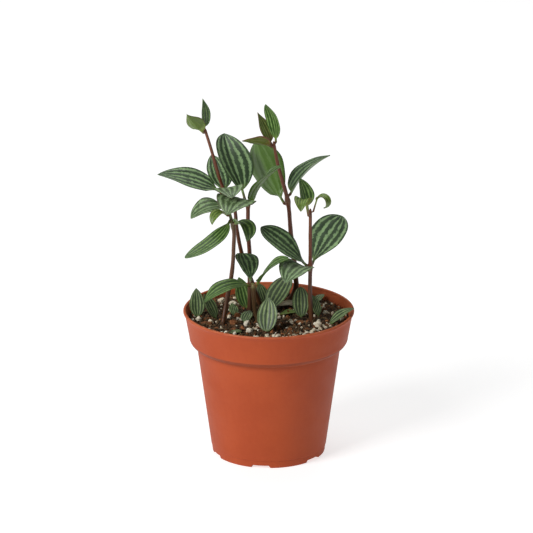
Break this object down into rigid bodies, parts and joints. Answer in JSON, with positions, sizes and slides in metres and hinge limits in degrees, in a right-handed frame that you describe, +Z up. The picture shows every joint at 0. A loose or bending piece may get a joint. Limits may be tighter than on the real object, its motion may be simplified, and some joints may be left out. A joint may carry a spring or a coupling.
{
  "type": "potted peperomia",
  "caption": "Small striped-leaf peperomia rooted in soil in a round tapered nursery pot with a deep collar; a free-standing house plant.",
  "frame": {"origin": "centre of the pot's underside, on the surface that it stands on", "axes": "+Z up along the pot's axis, -Y towards the front, +X to the right"},
  "size_m": [0.1232, 0.108, 0.2308],
  "materials": {
    "pot_plastic": "terracotta-coloured moulded plastic, satin",
    "potting_soil": "rough dark brown potting mix",
    "red_stem": "smooth red-brown stem",
    "leaf": "dark green leaf with pale stripes, satin",
    "young_leaf": "bright green young leaf, satin",
    "dry_leaf": "dry straw-coloured leaf, matt",
    "perlite": "off-white porous grain, matt",
    "bark": "brown bark chip, matt"
  },
  "bodies": {
    "root": {"bark_1": "bark", "bark_2": "bark", "bark_3": "bark", "bark_4": "bark", "dry_leaf": "dry_leaf", "leaf_left_front_left": "young_leaf", "leaf_left_front_right": "young_leaf", "leaf_left_front_tip": "young_leaf", "leaf_left_tall_back": "leaf", "leaf_left_tall_front": "leaf", "leaf_left_tall_left": "leaf", "leaf_left_tall_low_left": "leaf", "leaf_left_tall_tip_left": "young_leaf", "leaf_left_tall_tip_up": "leaf", "leaf_low_1": "leaf", "leaf_low_10": "leaf", "leaf_low_11": "leaf", "leaf_low_12": "leaf", "leaf_low_13": "young_leaf", "leaf_low_14": "leaf", "leaf_low_2": "leaf", "leaf_low_3": "leaf", "leaf_low_4": "leaf", "leaf_low_5": "leaf", "leaf_low_6": "leaf", "leaf_low_7": "leaf", "leaf_low_8": "leaf", "leaf_low_9": "leaf", "leaf_middle_back": "leaf", "leaf_middle_front": "leaf", "leaf_middle_right": "leaf", "leaf_right_front_front": "leaf", "leaf_right_front_left": "leaf", "leaf_right_front_right": "leaf", "leaf_right_front_tip_back": "young_leaf", "leaf_right_front_tip_left": "young_leaf", "leaf_right_front_tip_right": "young_leaf", "leaf_right_tall_left": "leaf", "leaf_right_tall_right": "leaf", "leaf_right_tall_tip_left": "young_leaf", "leaf_right_tall_tip_left_up": "young_leaf", "leaf_right_tall_tip_right_up": "young_leaf", "leaf_short_back": "leaf", "leaf_short_left": "young_leaf", "leaf_short_right": "young_leaf", "perlite_1": "perlite", "perlite_2": "perlite", "perlite_3": "perlite", "perlite_4": "perlite", "perlite_5": "perlite", "perlite_6": "perlite", "pot": "pot_plastic", "soil": "potting_soil", "stem_left_front": "red_stem", "stem_left_tall": "red_stem", "stem_middle": "red_stem", "stem_right_front": "red_stem", "stem_right_tall": "red_stem", "stem_short_front": "red_stem"}
  },
  "joints": []
}
